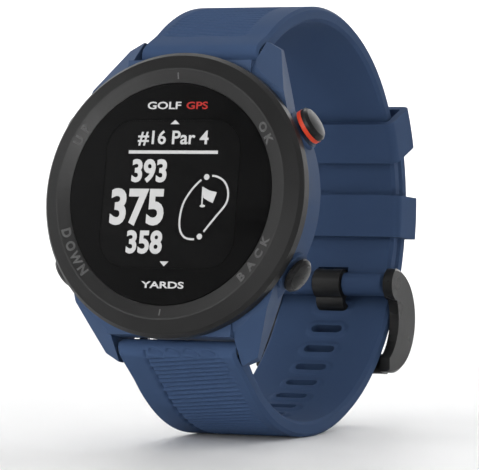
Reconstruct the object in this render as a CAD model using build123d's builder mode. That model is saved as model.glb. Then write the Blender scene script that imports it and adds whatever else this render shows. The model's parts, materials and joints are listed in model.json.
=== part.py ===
from build123d import *
import math
import os

os.makedirs("parts", exist_ok=True)

# A golf GPS watch, closed on its strap, in millimetres.
# It is drawn about its dial: X to 3 o'clock, Y from the glass to the back, Z to 12 o'clock.
# At the end every piece leans back on the strap loop and moves to the standing origin.

LEAN = 10.0  # degrees that the dial leans back when the watch stands on its strap

# --- case, front to back (depths are Y, measured from the bezel's crest)
BEZEL_RADIUS = 21.85
BEZEL_CREST = 19.0  # radius where the inner cone meets the outer slope
BEZEL_BACK = 3.55
GLASS_RADIUS = 16.95
GLASS_FRONT = 0.45
GLASS_BACK = 1.55
LEDGE_BACK = 1.85  # the seal lies between the glass and the bezel's ledge here
LEDGE_BORE = 15.6
SCREEN_HALF = 12.0
SCREEN_CORNER = 15.4
SCREEN_BACK = 2.5
LIGHT_BACK = 3.1
PLATE_FRONT = 3.2
PLATE_BACK = 3.9
PLATE_RADIUS = 18.0
BOARD_FRONT = 4.3
BOARD_BACK = 5.1
BOARD_RADIUS = 16.6
CAN_BACK = 6.2
CELL_FRONT = 6.5
CELL_BACK = 8.9
CASE_RADIUS = 21.3
CASE_BORE = 18.9
LIP_FRONT = 8.4
LIP_BACK = 9.2
LIP_BORE = 17.6
SEAL_BACK = 9.5
CASE_BACK = 10.6
COVER_RADIUS = 19.25
COVER_BACK = 11.5
SCREW_CIRCLE = 17.45
SCREW_ANGLES = [45, 135, 225, 315]
CONTACT_Z = -9.0
CONTACT_PITCH = 2.3

# --- lugs and quick-release bars
BAR_DEPTH = 8.2
BAR_HEIGHT = 22.9
LUG_INNER = 10.45
BAR_RADIUS = 0.9
TIP_RADIUS = 0.4
LATCH_TRAVEL = 1.3
POCKET_Z = 21.1
BRIDGE_BACK = 8.3
APRON_BACK = 10.8
LEVER_ROOM = (-9.4, -3.1)  # the levers' stretch of x, left free of the apron

# --- buttons
BUTTON_DEPTH = 6.3
BUTTONS = {"ok_button": 30, "back_button": -30, "up_button": 150, "down_button": 210}
PRESS = 0.5
STEM_RADIUS = 1.0
CAP_RADIUS = 2.75
CAP_SEAT = 22.3
BOSS_TOP = 21.72
CAP_HEIGHT = 1.3
OK_HEIGHT = 2.0
DOME_RISE = 0.35
DOME_EDGE = 2.3
RING_WALL = 0.45
RING_WIDTH = 0.65
SWITCH_OUTER = 15.0

# --- strap, with headings in degrees from +Y towards +Z
STRAP_HALF = 10.0
STRAP_THICK = 2.4
END_RADIUS = 1.65
EDGE_CHAMFER = 0.5
UPPER_HEADING = 40.0
UPPER_STRAIGHT = 4.4
CROWN_RADIUS = 31.9
CROWN_END = -30.0
CLASP_RADIUS = 29.4
LOWER_HEADING = 35.0
LOWER_STRAIGHT = 7.2
LAYER_GAP = 0.4
TAIL_TIP = 31.0  # degrees up from the clasp's centre
HOLE_WIDTH = 5.4
HOLE_LENGTH = 1.5
HOLE_PITCH = 7.15  # degrees along the lower strap
PRONG_HOLE = -21.45
HOLES_BELOW = 7
HOLES_ABOVE = 3

# --- buckle and keepers
TUBE_RADIUS = 2.0
TUBE_ORBIT = 28.5
TUBE_ANGLE = -17.9
PIN_RADIUS = 0.7
ARM_INNER = 10.35
ARM_OUTER = 12.0
ARM_CHAMFER = 0.45
PRONG_HALF = 2.4
PRONG_THICK = 1.1
KEEPER_ANGLES = {"upper_keeper": 31.0, "lower_keeper": 5.2}
KEEPER_WIDTH = 6.8
KEEPER_WALL = 1.2
KEEPER_PLAY = 0.25


def turn(degrees):
    """Unit vector in the Y-Z plane, counted from +Y towards +Z."""
    return math.cos(math.radians(degrees)), math.sin(math.radians(degrees))


def polar(centre, radius, degrees):
    """Point in the Y-Z plane at a radius and angle about a centre."""
    c, s = turn(degrees)
    return centre[0] + radius * c, centre[1] + radius * s


def face_at(depth):
    """Sketch plane parallel to the dial: local x is X, local y is Z, normal towards the wearer."""
    return Plane(origin=(0, depth, 0), x_dir=(1, 0, 0), z_dir=(0, -1, 0))


def button_plane(degrees):
    """Plane through a button's axis: local x runs outwards, local y towards the back."""
    c, s = turn(degrees)
    return Plane(origin=(0, BUTTON_DEPTH, 0), x_dir=(c, 0, s), z_dir=(s, 0, -c))


def across_button(degrees, reach):
    """Plane square to a button's axis, at a distance from the dial's centre."""
    c, s = turn(degrees)
    return Plane(origin=(reach * c, BUTTON_DEPTH, reach * s), x_dir=(0, 1, 0), z_dir=(c, 0, s))


def strap_plane(centre, radius, degrees):
    """Plane tangent to the strap, its normal pointing away from the wrist."""
    c, s = turn(degrees)
    y, z = polar(centre, radius, degrees)
    return Plane(origin=(0, y, z), x_dir=(1, 0, 0), z_dir=(0, c, s))


def disc(radius, front, back, bore=0):
    """Round plate or ring about the dial's axis."""
    with BuildPart() as piece:
        with BuildSketch(face_at(back)):
            Circle(radius)
            if bore:
                Circle(bore, mode=Mode.SUBTRACT)
        extrude(amount=back - front)
    return piece


def screen_layer(half, corner, front, back):
    """Square layer whose corners are cut by a circle."""
    with BuildPart() as piece:
        with BuildSketch(face_at(back)):
            Circle(corner)
            Rectangle(2 * half, 2 * half, mode=Mode.INTERSECT)
        extrude(amount=back - front)
    return piece


# --- where the strap runs, worked out from the driving dimensions
crown_start = (
    BAR_DEPTH + UPPER_STRAIGHT * turn(UPPER_HEADING)[0],
    BAR_HEIGHT + UPPER_STRAIGHT * turn(UPPER_HEADING)[1],
)
crown_centre = polar(crown_start, CROWN_RADIUS, UPPER_HEADING - 90)
clasp_start = polar(crown_centre, CROWN_RADIUS, CROWN_END + 90)
clasp_centre = polar(clasp_start, CLASP_RADIUS, CROWN_END - 90)
TAIL_RADIUS = CLASP_RADIUS + STRAP_THICK + LAYER_GAP
foot_start = (
    BAR_DEPTH + LOWER_STRAIGHT * turn(LOWER_HEADING)[0],
    -BAR_HEIGHT - LOWER_STRAIGHT * turn(LOWER_HEADING)[1],
)
# The foot's bend ends at the strap's lowest point, where the large loop takes over.
bend_share = 1 + turn(LOWER_HEADING)[1] - turn(LOWER_HEADING)[0]
bend_reach = clasp_centre[0] + TAIL_RADIUS - foot_start[0] - clasp_centre[1] + foot_start[1]
FOOT_RADIUS = bend_reach / bend_share
foot_centre = polar(foot_start, FOOT_RADIUS, 90 - LOWER_HEADING)
foot_end = polar(foot_centre, FOOT_RADIUS, -90)
LOOP_RADIUS = clasp_centre[1] - foot_end[1]
loop_centre = (clasp_centre[0] + TAIL_RADIUS - LOOP_RADIUS, clasp_centre[1])
tube_centre = polar(clasp_centre, TUBE_ORBIT, TUBE_ANGLE)

# ---------------------------------------------------------------- front of the case
with BuildPart() as bezel:
    with BuildSketch(Plane.XY):
        with BuildLine():
            Polyline(
                (GLASS_RADIUS + 0.1, LEDGE_BACK),
                (GLASS_RADIUS + 0.1, 0.5),
                (BEZEL_CREST, 0),
                (BEZEL_CREST + 0.25, 0),
                (BEZEL_RADIUS - 0.55, 0.95),
                (BEZEL_RADIUS, 1.7),
                (BEZEL_RADIUS, BEZEL_BACK - 0.25),
                (BEZEL_RADIUS - 0.25, BEZEL_BACK),
                (PLATE_RADIUS + 0.4, BEZEL_BACK),
                (PLATE_RADIUS + 0.4, LEDGE_BACK + 0.85),
                (LEDGE_BORE, LEDGE_BACK + 0.85),
                (LEDGE_BORE, LEDGE_BACK),
                close=True,
            )
        make_face()
    revolve(axis=Axis.Y)

cover_glass = disc(GLASS_RADIUS, GLASS_FRONT, GLASS_BACK)
glass_seal = disc(GLASS_RADIUS - 0.05, GLASS_BACK, LEDGE_BACK, bore=LEDGE_BORE + 0.1)
display_panel = screen_layer(SCREEN_HALF, SCREEN_CORNER, GLASS_BACK, SCREEN_BACK)
display_backlight = screen_layer(SCREEN_HALF - 0.2, SCREEN_CORNER - 0.2, SCREEN_BACK, LIGHT_BACK)

with BuildPart() as display_flex:
    # A thin ribbon folded once: from behind the panel's lower edge down to the board.
    with BuildSketch(Plane.YZ):
        with BuildLine():
            Polyline(
                (SCREEN_BACK, -SCREEN_HALF + 0.15),
                (SCREEN_BACK, -13.3),
                (BOARD_FRONT, -13.3),
                (BOARD_FRONT, -13.15),
                (SCREEN_BACK + 0.15, -13.15),
                (SCREEN_BACK + 0.15, -SCREEN_HALF + 0.15),
                close=True,
            )
        make_face()
    extrude(amount=4, both=True)

# ---------------------------------------------------------------- inside the case
POST_SPOTS = [(0, 14.6), (-12.6, -7.3), (12.6, -7.3)]
with BuildPart() as inner_frame:
    with BuildSketch(face_at(PLATE_BACK)):
        Circle(PLATE_RADIUS)
        with Locations((0, -13.25)):
            Rectangle(9, 1.2, mode=Mode.SUBTRACT)
    extrude(amount=PLATE_BACK - PLATE_FRONT)
    with BuildSketch(face_at(BOARD_FRONT)):
        with Locations(*POST_SPOTS):
            Circle(1.1)
    extrude(amount=BOARD_FRONT - PLATE_BACK)
    with BuildSketch(face_at(BOARD_BACK)):
        with Locations(*POST_SPOTS):
            Circle(0.6)
    extrude(amount=BOARD_BACK - BOARD_FRONT)

with BuildPart() as gps_antenna:
    # An arc of metal foil on a carrier, along the 12 o'clock side.
    with BuildSketch(face_at(PLATE_BACK + 1.3)):
        with BuildLine():
            CenterArc((0, 0), PLATE_RADIUS, 55, 70)
            CenterArc((0, 0), PLATE_RADIUS - 1, 55, 70)
            Line(turn(55)[0] * Vector(PLATE_RADIUS - 1, 0) + turn(55)[1] * Vector(0, PLATE_RADIUS - 1),
                 turn(55)[0] * Vector(PLATE_RADIUS, 0) + turn(55)[1] * Vector(0, PLATE_RADIUS))
            Line(turn(125)[0] * Vector(PLATE_RADIUS - 1, 0) + turn(125)[1] * Vector(0, PLATE_RADIUS - 1),
                 turn(125)[0] * Vector(PLATE_RADIUS, 0) + turn(125)[1] * Vector(0, PLATE_RADIUS))
        make_face()
    extrude(amount=1.3)

with BuildPart() as main_board:
    with BuildSketch(face_at(BOARD_BACK)):
        Circle(BOARD_RADIUS)
        with Locations(*POST_SPOTS):
            Circle(0.6, mode=Mode.SUBTRACT)
    extrude(amount=BOARD_BACK - BOARD_FRONT)

with BuildPart() as shield_cans:
    with BuildSketch(face_at(CAN_BACK)):
        with Locations((-4.6, 5.2), (4.9, -4.6)):
            RectangleRounded(8, 9, 0.6)
    extrude(amount=CAN_BACK - BOARD_BACK)

with BuildPart() as tact_switches:
    # Four side-push switches on the board's edge, one behind each button.
    for angle in BUTTONS.values():
        with BuildSketch(across_button(angle, SWITCH_OUTER)):
            with Locations((0.05, 0)):
                Rectangle(2.5, 3.4)
        extrude(amount=-2.1)
        with BuildSketch(across_button(angle, SWITCH_OUTER)):
            Circle(0.5)
        extrude(amount=0.25)

with BuildPart() as battery:
    with BuildSketch(face_at(CELL_BACK)):
        RectangleRounded(18, 20, 1.5)
    extrude(amount=CELL_BACK - CELL_FRONT)

with BuildPart() as battery_pad:
    with BuildSketch(face_at(SEAL_BACK)):
        RectangleRounded(16, 18, 1)
    extrude(amount=SEAL_BACK - CELL_BACK)

# ---------------------------------------------------------------- case body with its lugs
# Two slanted planes shape each lug: the wide facet towards the front and the side that leans inwards.
FACET = Plane(origin=(12.1, 4.8, 20.1), z_dir=(0.55, -1, 0.95))
SIDE = Plane(origin=(15.6, 4.6, 17.7), z_dir=(1, 0.248, 0.291))

with BuildPart() as lugs:
    # One lug is what a side view and a front view of it have in common, less what the planes cut off.
    with BuildSketch(Plane.YZ.offset(LUG_INNER)):
        Polygon(
            (BEZEL_BACK, 7),
            (BEZEL_BACK, 17.6),
            (4.2, 20.1),
            (5.8, 22.3),
            (8.3, 24.8),
            (9.7, 24.8),
            (10.8, 23.6),
            (10.9, 18),
            (10.4, 7),
            align=None,
        )
    extrude(amount=10)
    with BuildSketch(face_at(COVER_BACK + 1)):
        Polygon(
            (LUG_INNER, 7),
            (LUG_INNER, 24.9),
            (13, 23.5),
            (20.4, 7),
            align=None,
        )
    extrude(amount=COVER_BACK + 1, mode=Mode.INTERSECT)
    split(bisect_by=FACET, keep=Keep.BOTTOM)
    split(bisect_by=SIDE, keep=Keep.BOTTOM)
    mirror(about=Plane.YZ)
    mirror(about=Plane.XY)

with BuildPart() as case_body:
    with BuildSketch(Plane.XY):
        Polygon(
            (0, BEZEL_BACK),
            (CASE_RADIUS, BEZEL_BACK),
            (CASE_RADIUS, 8.6),
            (CASE_RADIUS - 1.3, CASE_BACK),
            (0, CASE_BACK),
            align=None,
        )
    revolve(axis=Axis.Y)
    add(lugs.part)
    # A straight wall between the lugs, close behind each strap end.
    with BuildSketch(face_at(BRIDGE_BACK)):
        Rectangle(2 * LUG_INNER, 2 * POCKET_Z)
    extrude(amount=BRIDGE_BACK - BEZEL_BACK)
    # The wall runs on behind the bars except where the levers move.
    with BuildSketch(face_at(APRON_BACK)):
        Rectangle(2 * LUG_INNER, 2 * POCKET_Z)
        with Locations((sum(LEVER_ROOM) / 2, 0)):
            Rectangle(LEVER_ROOM[1] - LEVER_ROOM[0], 3 * POCKET_Z, mode=Mode.SUBTRACT)
    extrude(amount=APRON_BACK - BRIDGE_BACK)
    # A round boss under each button.
    for angle in BUTTONS.values():
        with BuildSketch(across_button(angle, CASE_RADIUS - 1.5)):
            Circle(CAP_RADIUS + 0.35)
            with Locations((BEZEL_BACK - BUTTON_DEPTH - 5, 0)):
                Rectangle(10, 10, mode=Mode.SUBTRACT)
        extrude(amount=BOSS_TOP - CASE_RADIUS + 1.5)
        # The cap's own room, cut into the lug beside it.
        with BuildSketch(across_button(angle, BOSS_TOP)):
            Circle(CAP_RADIUS + 0.2)
        extrude(amount=5, mode=Mode.SUBTRACT)
    # The room for the works, the lip that takes the back seal and the seat of the back cover.
    with BuildSketch(face_at(LIP_FRONT)):
        Circle(CASE_BORE)
    extrude(amount=LIP_FRONT - BEZEL_BACK, mode=Mode.SUBTRACT)
    with BuildSketch(face_at(LIP_BACK)):
        Circle(LIP_BORE)
    extrude(amount=LIP_BACK - LIP_FRONT, mode=Mode.SUBTRACT)
    with BuildSketch(face_at(COVER_BACK + 1)):
        Circle(COVER_RADIUS + 0.1)
    extrude(amount=COVER_BACK + 1 - LIP_BACK, mode=Mode.SUBTRACT)
    # Posts for the back screws.
    with BuildSketch(face_at(LIP_BACK)):
        with PolarLocations(SCREW_CIRCLE + 0.15, 4, start_angle=SCREW_ANGLES[0]):
            Circle(1.5)
    extrude(amount=2.3)
    with BuildSketch(face_at(LIP_BACK)):
        with PolarLocations(SCREW_CIRCLE, 4, start_angle=SCREW_ANGLES[0]):
            Circle(0.5)
    extrude(amount=2, mode=Mode.SUBTRACT)
    # Room between the lugs for the strap ends.
    with BuildSketch(face_at(COVER_BACK + 1)):
        with Locations((0, POCKET_Z + 5), (0, -POCKET_Z - 5)):
            Rectangle(2 * LUG_INNER, 10)
    extrude(amount=COVER_BACK + 1 - BEZEL_BACK, mode=Mode.SUBTRACT)
    # Blind holes for the bars' tips.
    for height in (BAR_HEIGHT, -BAR_HEIGHT):
        with BuildSketch(Plane.YZ):
            with Locations((BAR_DEPTH, height)):
                Circle(TIP_RADIUS + 0.05)
        extrude(amount=LUG_INNER + 1.4, both=True, mode=Mode.SUBTRACT)
    # Bores for the button stems, each with a groove for its seal.
    for angle in BUTTONS.values():
        with BuildSketch(across_button(angle, LIP_BORE)):
            Circle(STEM_RADIUS + 0.05)
        extrude(amount=6, mode=Mode.SUBTRACT)
        with BuildSketch(across_button(angle, 19.6)):
            Circle(STEM_RADIUS + 0.55)
        extrude(amount=1.3, mode=Mode.SUBTRACT)

case_seal = disc(COVER_RADIUS, LIP_BACK, SEAL_BACK, bore=SCREW_CIRCLE + 0.9)

with BuildPart() as back_cover:
    with BuildSketch(Plane.XY):
        Polygon(
            (0, SEAL_BACK),
            (COVER_RADIUS, SEAL_BACK),
            (COVER_RADIUS, CASE_BACK),
            (COVER_RADIUS - 0.55, COVER_BACK - 0.3),
            (COVER_RADIUS - 1.2, COVER_BACK),
            (0, COVER_BACK),
            align=None,
        )
    revolve(axis=Axis.Y)
    with BuildSketch(face_at(COVER_BACK)):
        with PolarLocations(SCREW_CIRCLE, 4, start_angle=SCREW_ANGLES[0]):
            Circle(1.05)
    extrude(amount=0.9, mode=Mode.SUBTRACT)
    with BuildSketch(face_at(COVER_BACK)):
        with PolarLocations(SCREW_CIRCLE, 4, start_angle=SCREW_ANGLES[0]):
            Circle(0.6)
    extrude(amount=COVER_BACK - SEAL_BACK, mode=Mode.SUBTRACT)
    # Shallow pocket for the charging plug, with a hole for each contact.
    with BuildSketch(face_at(COVER_BACK)):
        with Locations((0, CONTACT_Z)):
            RectangleRounded(11.4, 4.4, 1)
    extrude(amount=0.7, mode=Mode.SUBTRACT)
    with BuildSketch(face_at(COVER_BACK)):
        with Locations((0, CONTACT_Z)):
            with GridLocations(CONTACT_PITCH, 1, 4, 1):
                Circle(0.75)
    extrude(amount=COVER_BACK - SEAL_BACK, mode=Mode.SUBTRACT)

with BuildPart() as back_screws:
    with BuildSketch(face_at(COVER_BACK - 0.2)):
        with PolarLocations(SCREW_CIRCLE, 4, start_angle=SCREW_ANGLES[0]):
            Circle(1.0)
    extrude(amount=0.7)
    with BuildSketch(face_at(COVER_BACK - 0.9)):
        with PolarLocations(SCREW_CIRCLE, 4, start_angle=SCREW_ANGLES[0]):
            Circle(0.5)
    extrude(amount=2.9)
    with BuildSketch(face_at(COVER_BACK - 0.2)):
        with PolarLocations(SCREW_CIRCLE, 4, start_angle=SCREW_ANGLES[0]):
            RegularPolygon(0.45, 6)
    extrude(amount=0.4, mode=Mode.SUBTRACT)

with BuildPart() as charge_contacts:
    with BuildSketch(face_at(COVER_BACK - 0.5)):
        with Locations((0, CONTACT_Z)):
            with GridLocations(CONTACT_PITCH, 1, 4, 1):
                Circle(0.75)
    extrude(amount=1.5)


# ---------------------------------------------------------------- buttons
DOME_RADIUS = (DOME_EDGE**2 + DOME_RISE**2) / (2 * DOME_RISE)
DOME_ANGLE = math.degrees(math.asin(DOME_EDGE / DOME_RADIUS))


def button(angle, crown, seat):
    """Cap and stem in one, turned about the button's axis; the seat is the cap's inner edge."""
    with BuildPart() as piece:
        with BuildSketch(button_plane(angle)):
            with BuildLine():
                Polyline(
                    (SWITCH_OUTER + 0.85, 0),
                    (SWITCH_OUTER + 0.85, STEM_RADIUS),
                    (18.4, STEM_RADIUS),
                    (18.4, STEM_RADIUS - 0.3),
                    (18.7, STEM_RADIUS - 0.3),
                    (18.7, STEM_RADIUS),
                    (CAP_SEAT, STEM_RADIUS),
                    *seat,
                    (crown - DOME_RISE - 0.45, CAP_RADIUS),
                    (crown - DOME_RISE, DOME_EDGE),
                )
                CenterArc((crown - DOME_RADIUS, 0), DOME_RADIUS, 0, DOME_ANGLE)
                Line((crown, 0), (SWITCH_OUTER + 0.85, 0))
            make_face()
        revolve(axis=Axis(Vector(0, BUTTON_DEPTH, 0), button_plane(angle).x_dir))
    return piece


def button_ring(angle, inner, outer, near, far):
    """Ring round a button's stem or cap, from one distance to another."""
    with BuildPart() as piece:
        with BuildSketch(across_button(angle, near)):
            Circle(outer)
            Circle(inner, mode=Mode.SUBTRACT)
        extrude(amount=far - near)
    return piece


def button_clip(angle):
    """Flat open clip in the stem's groove, which stops the button from coming out."""
    with BuildPart() as piece:
        with BuildSketch(across_button(angle, 18.4)):
            Circle(1.8)
            Circle(STEM_RADIUS - 0.3, mode=Mode.SUBTRACT)
            with Locations((1.4, 0)):
                Rectangle(2, 1.2, mode=Mode.SUBTRACT)
        extrude(amount=0.3)
    return piece


PLAIN_SEAT = [(CAP_SEAT, CAP_RADIUS)]
RING_SEAT = [
    (CAP_SEAT, CAP_RADIUS - RING_WALL),
    (CAP_SEAT + RING_WIDTH, CAP_RADIUS - RING_WALL),
    (CAP_SEAT + RING_WIDTH, CAP_RADIUS),
]
pieces = {}
for name, angle in BUTTONS.items():
    if name == "ok_button":
        pieces[name] = button(angle, CAP_SEAT + OK_HEIGHT, RING_SEAT)
    else:
        pieces[name] = button(angle, CAP_SEAT + CAP_HEIGHT, PLAIN_SEAT)
    side = name.split("_")[0]
    pieces[side + "_seal"] = button_ring(angle, STEM_RADIUS, STEM_RADIUS + 0.5, 20.15, 20.8)
    pieces[side + "_clip"] = button_clip(angle)
pieces["ok_ring"] = button_ring(
    BUTTONS["ok_button"], CAP_RADIUS - RING_WALL, CAP_RADIUS + 0.05, CAP_SEAT, CAP_SEAT + RING_WIDTH
)


# ---------------------------------------------------------------- quick-release bars
BORE_RADIUS = 0.56
PLUNGER_END = -4.0
SPRING_LENGTH = 5.5


def bar_axis(height):
    """Plane square to a lug bar, local x along Y and local y along Z."""
    return Plane(origin=(0, BAR_DEPTH, height), x_dir=(0, 1, 0), z_dir=(1, 0, 0))


def latch_plane(height, inward):
    """Plane along a lug bar whose normal points at the wrist."""
    c, s = turn(inward)
    return Plane(origin=(0, BAR_DEPTH, height), x_dir=(1, 0, 0), z_dir=(0, c, s))


def lug_bar(height, inward):
    """Hollow bar with one fixed tip; a slot lets the latch's lever out."""
    with BuildPart() as piece:
        with BuildSketch(bar_axis(height).offset(-STRAP_HALF + 0.4)):
            Circle(BAR_RADIUS)
        extrude(amount=2 * STRAP_HALF - 0.8)
        with BuildSketch(bar_axis(height).offset(STRAP_HALF - 0.4)):
            Circle(TIP_RADIUS)
        extrude(amount=1.9)
        with BuildSketch(bar_axis(height).offset(-STRAP_HALF)):
            Circle(BORE_RADIUS)
        extrude(amount=STRAP_HALF + PLUNGER_END + SPRING_LENGTH, mode=Mode.SUBTRACT)
        with BuildSketch(latch_plane(height, inward)):
            with Locations((-6.35, 0)):
                Rectangle(2.3, 0.9)
        extrude(amount=2, mode=Mode.SUBTRACT)
    return piece


def lug_latch(height, inward):
    """Sliding tip with the little lever that a thumbnail pulls."""
    with BuildPart() as piece:
        with BuildSketch(bar_axis(height).offset(PLUNGER_END)):
            Circle(BORE_RADIUS - 0.05)
        extrude(amount=-5.5)
        with BuildSketch(bar_axis(height).offset(PLUNGER_END - 5.5)):
            Circle(TIP_RADIUS)
        extrude(amount=-2)
        with BuildSketch(latch_plane(height, inward)):
            with Locations((-7, 0)):
                Circle(0.4)
        extrude(amount=2.1)
        with BuildSketch(latch_plane(height, inward).offset(2.1)):
            with Locations((-7, 0)):
                Circle(0.75)
        extrude(amount=0.7)
        fillet(piece.edges().filter_by(GeomType.CIRCLE).sort_by(Axis(
            Vector(0, BAR_DEPTH, height), latch_plane(height, inward).z_dir))[-1], 0.25)
    return piece


def latch_spring(height):
    """Coil spring between the bar's bore end and the latch."""
    with BuildPart() as piece:
        start = (PLUNGER_END + 0.12, BAR_DEPTH, height)
        with BuildLine() as coil:
            Helix(pitch=0.6, height=SPRING_LENGTH - 0.24, radius=0.42, center=start, direction=(1, 0, 0))
        with BuildSketch(Plane(origin=coil.line @ 0, z_dir=coil.line % 0)):
            Circle(0.09)
        sweep(path=coil.line)
    return piece


LATCH_INWARD = {"upper": (BAR_HEIGHT, UPPER_HEADING - 90), "lower": (-BAR_HEIGHT, 90 - LOWER_HEADING)}
for end, (height, inward) in LATCH_INWARD.items():
    pieces[end + "_lug_bar"] = lug_bar(height, inward)
    pieces[end + "_lug_latch"] = lug_latch(height, inward)
    pieces[end + "_latch_spring"] = latch_spring(height)


# ---------------------------------------------------------------- strap
def long_edges(band, centre, radius):
    """The band's two long edges on its outer face; a chamfer runs on from them all round."""
    reach = radius + STRAP_THICK / 2

    def on_arc(edge):
        spot = edge @ 0.5
        return (
            abs(abs(spot.X) - STRAP_HALF) < 0.01
            and abs(math.hypot(spot.Y - centre[0], spot.Z - centre[1]) - reach) < 0.01
        )

    return band.edges().filter_by(on_arc)


with BuildPart() as upper_strap:
    with BuildSketch(Plane.YZ):
        with BuildLine():
            Line((BAR_DEPTH, BAR_HEIGHT), crown_start)
            CenterArc(crown_centre, CROWN_RADIUS, UPPER_HEADING + 90, CROWN_END - UPPER_HEADING)
            CenterArc(clasp_centre, CLASP_RADIUS, CROWN_END + 90, TUBE_ANGLE - CROWN_END - 90)
            offset(amount=STRAP_THICK / 2, side=Side.BOTH)
        make_face()
    extrude(amount=STRAP_HALF, both=True)
    chamfer(long_edges(upper_strap, clasp_centre, CLASP_RADIUS), EDGE_CHAMFER)
    with BuildSketch(Plane.YZ):
        with Locations((BAR_DEPTH, BAR_HEIGHT)):
            Circle(END_RADIUS)
        with Locations(crown_start):
            Circle(STRAP_THICK / 2)
        make_hull()
    extrude(amount=STRAP_HALF - EDGE_CHAMFER, both=True)
    with BuildSketch(Plane.YZ):
        with Locations(tube_centre):
            Circle(TUBE_RADIUS)
    extrude(amount=STRAP_HALF, both=True)
    with BuildSketch(Plane.YZ):
        with Locations((BAR_DEPTH, BAR_HEIGHT)):
            Circle(BAR_RADIUS)
        with Locations(tube_centre):
            Circle(PIN_RADIUS)
    extrude(amount=STRAP_HALF, both=True, mode=Mode.SUBTRACT)
    # The prong's slot in the middle of the buckle end.
    with BuildSketch(Plane.YZ):
        with Locations(tube_centre):
            Circle(TUBE_RADIUS + 0.8)
    extrude(amount=PRONG_HALF + 0.3, both=True, mode=Mode.SUBTRACT)
    # The window that the latch's lever slides in.
    with BuildSketch(latch_plane(*LATCH_INWARD["upper"])):
        with Locations((-6.35, 0)):
            SlotOverall(4.6, 2.0)
    extrude(amount=3, mode=Mode.SUBTRACT)

with BuildPart() as lower_strap:
    with BuildSketch(Plane.YZ):
        with BuildLine():
            Line((BAR_DEPTH, -BAR_HEIGHT), foot_start)
            CenterArc(foot_centre, FOOT_RADIUS, -90 - LOWER_HEADING, LOWER_HEADING)
            CenterArc(loop_centre, LOOP_RADIUS, -90, 90)
            CenterArc(clasp_centre, TAIL_RADIUS, 0, TAIL_TIP)
            offset(amount=STRAP_THICK / 2, side=Side.BOTH)
        make_face()
    extrude(amount=STRAP_HALF, both=True)
    chamfer(long_edges(lower_strap, loop_centre, LOOP_RADIUS), EDGE_CHAMFER)
    with BuildSketch(Plane.YZ):
        with Locations((BAR_DEPTH, -BAR_HEIGHT)):
            Circle(END_RADIUS)
        with Locations(foot_start):
            Circle(STRAP_THICK / 2)
        make_hull()
    extrude(amount=STRAP_HALF - EDGE_CHAMFER, both=True)
    with BuildSketch(Plane.YZ):
        with Locations((BAR_DEPTH, -BAR_HEIGHT)):
            Circle(BAR_RADIUS)
    extrude(amount=STRAP_HALF, both=True, mode=Mode.SUBTRACT)
    hole_planes = []
    for step in range(-HOLES_ABOVE, HOLES_BELOW + 1):
        hole_planes.append(strap_plane(loop_centre, LOOP_RADIUS, PRONG_HOLE - step * HOLE_PITCH))
    for step in (1, 2):
        hole_planes.append(strap_plane(clasp_centre, TAIL_RADIUS, step * HOLE_PITCH * 1.1))
    for plane in hole_planes:
        with BuildSketch(plane):
            SlotOverall(HOLE_WIDTH, HOLE_LENGTH)
        extrude(amount=STRAP_THICK, both=True, mode=Mode.SUBTRACT)
    # The window that the latch's lever slides in.
    with BuildSketch(latch_plane(*LATCH_INWARD["lower"])):
        with Locations((-6.35, 0)):
            SlotOverall(4.6, 2.0)
    extrude(amount=3, mode=Mode.SUBTRACT)

# ---------------------------------------------------------------- buckle
hole_inner = polar(loop_centre, LOOP_RADIUS - 2.5, PRONG_HOLE)
hole_outer = polar(loop_centre, LOOP_RADIUS + 2.35, PRONG_HOLE)
prong_tip = polar(loop_centre, LOOP_RADIUS + 4.75, -35.5)
cross_bar = polar(loop_centre, LOOP_RADIUS + 3.15, -34)
# The arm is a crescent; its corners and its two bulges, counted from the pin.
arm_top, arm_bulge, arm_foot, arm_heel, arm_hollow, arm_root = [
    (tube_centre[0] + along, tube_centre[1] + up)
    for along, up in [(0.2, 2.6), (8.2, -4.2), (-0.9, -14.4), (-1.3, -12.2), (1.3, -7.4), (0, -2.6)]
]

with BuildPart() as buckle_pin:
    with BuildSketch(Plane.YZ):
        with Locations(tube_centre):
            Circle(PIN_RADIUS)
    extrude(amount=ARM_OUTER - 0.7, both=True)

with BuildPart() as buckle_frame:
    with BuildSketch(Plane.YZ):
        with BuildLine():
            ThreePointArc(arm_top, arm_bulge, arm_foot)
            Line(arm_foot, arm_heel)
            ThreePointArc(arm_heel, arm_hollow, arm_root)
            Line(arm_root, arm_top)
        make_face()
        with Locations(tube_centre):
            Circle(2.6)
    extrude(amount=ARM_OUTER, both=True)
    chamfer(buckle_frame.faces().filter_by(Axis.X).edges().sort_by(SortBy.LENGTH)[-2:], ARM_CHAMFER)
    with BuildSketch(Plane.YZ):
        with Locations(tube_centre):
            Rectangle(60, 60)
    extrude(amount=ARM_INNER, both=True, mode=Mode.SUBTRACT)
    with BuildSketch(Plane.YZ):
        with Locations(cross_bar):
            SlotOverall(3.5, 2.6, rotation=56)
    extrude(amount=ARM_INNER, both=True)
    with BuildSketch(Plane.YZ):
        with Locations(tube_centre):
            Circle(PIN_RADIUS + 0.05)
    extrude(amount=ARM_OUTER - 0.6, both=True, mode=Mode.SUBTRACT)
    # The notch in the cross bar that the prong lies in.
    with BuildSketch(Plane.YZ):
        with BuildLine():
            Line(hole_outer, prong_tip)
            offset(amount=PRONG_THICK / 2 + 0.12, side=Side.BOTH)
        make_face()
    extrude(amount=PRONG_HALF + 0.3, both=True, mode=Mode.SUBTRACT)

with BuildPart() as buckle_prong:
    with BuildSketch(Plane.YZ):
        with BuildLine():
            FilletPolyline(tube_centre, hole_inner, hole_outer, prong_tip, radius=1.15)
            offset(amount=PRONG_THICK / 2, side=Side.BOTH)
        make_face()
        with Locations(tube_centre):
            Circle(TUBE_RADIUS + 0.4)
            Circle(PIN_RADIUS + 0.05, mode=Mode.SUBTRACT)
    extrude(amount=PRONG_HALF, both=True)


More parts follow.
